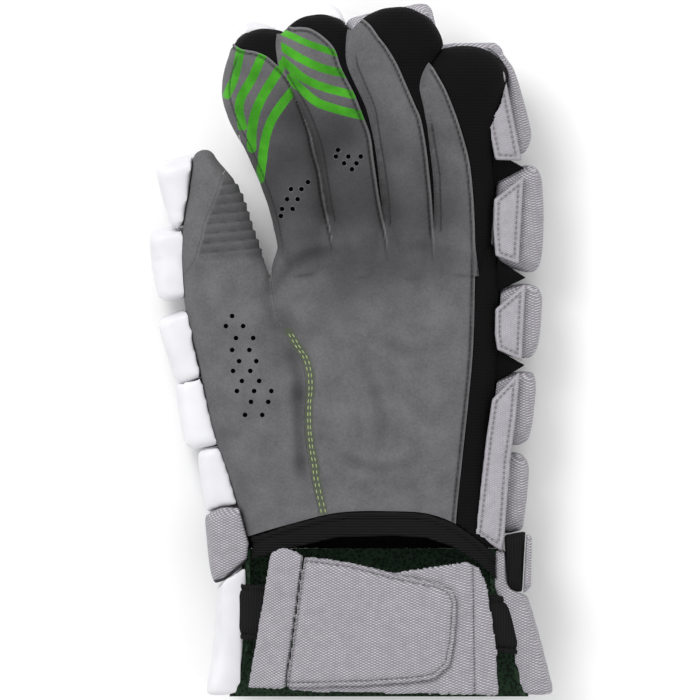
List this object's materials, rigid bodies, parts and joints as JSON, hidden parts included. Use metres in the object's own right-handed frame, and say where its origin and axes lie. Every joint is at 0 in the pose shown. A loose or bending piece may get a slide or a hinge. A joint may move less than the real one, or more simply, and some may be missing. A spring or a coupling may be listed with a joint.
{
  "type": "lacrosse glove",
  "caption": "Left-hand lacrosse glove with a suede palm, mesh fingers, padded back and a woven wrist strap, lying palm up.",
  "frame": {"origin": "under the middle of the glove, on the surface that its padded back rests on", "axes": "+Z out of the palm, +Y from the cuff to the fingertips, thumb at -X"},
  "size_m": [0.187, 0.3202, 0.0676],
  "materials": {
    "suede": "brushed microsuede",
    "black_mesh": "knitted mesh",
    "grey_woven": "coarse woven nylon",
    "white_shell": "smooth coated synthetic",
    "green_mesh": "knitted liner",
    "black_webbing": "ribbed webbing and elastic"
  },
  "bodies": {
    "root": {"palm_panel": "suede", "thumb_panel": "suede", "thumb_tip_panel": "suede", "palm_side_gusset": "black_mesh", "back_shell": "black_mesh", "tab_left": "grey_woven", "tab_right": "black_webbing", "tab_right_trim": "grey_woven", "cuff_liner": "green_mesh", "cuff_pad_left": "white_shell", "cuff_pad_back": "grey_woven", "cuff_pad_right": "grey_woven", "palm_binding": "black_webbing", "elastic_left": "black_webbing", "elastic_right": "black_webbing", "strap_band": "grey_woven", "strap_roll": "grey_woven", "strap_tab": "grey_woven", "index_gusset": "black_mesh", "index_pad_1": "white_shell", "index_pad_2": "white_shell", "index_pad_3": "white_shell", "middle_gusset": "black_mesh", "middle_pad_1": "white_shell", "middle_pad_2": "white_shell", "middle_pad_3": "white_shell", "ring_gusset": "black_mesh", "ring_pad_1": "grey_woven", "ring_pad_2": "grey_woven", "ring_pad_3": "grey_woven", "little_gusset": "black_mesh", "little_pad_1": "grey_woven", "little_pad_2": "grey_woven", "little_pad_3": "grey_woven", "thumb_pad_1": "white_shell", "side_pad_1": "grey_woven", "thumb_pad_2": "white_shell", "side_pad_2": "grey_woven", "thumb_pad_3": "white_shell", "side_pad_3": "grey_woven", "thumb_pad_4": "white_shell", "side_pad_4": "grey_woven", "thumb_pad_5": "white_shell", "side_pad_5": "grey_woven", "back_pad_1": "white_shell", "back_pad_2": "white_shell", "back_pad_3": "white_shell", "back_pad_4": "grey_woven", "back_pad_5": "grey_woven", "back_pad_6": "grey_woven", "side_flap_1": "grey_woven", "side_flap_2": "grey_woven", "side_flap_3": "grey_woven", "side_flap_4": "grey_woven"}
  },
  "joints": []
}
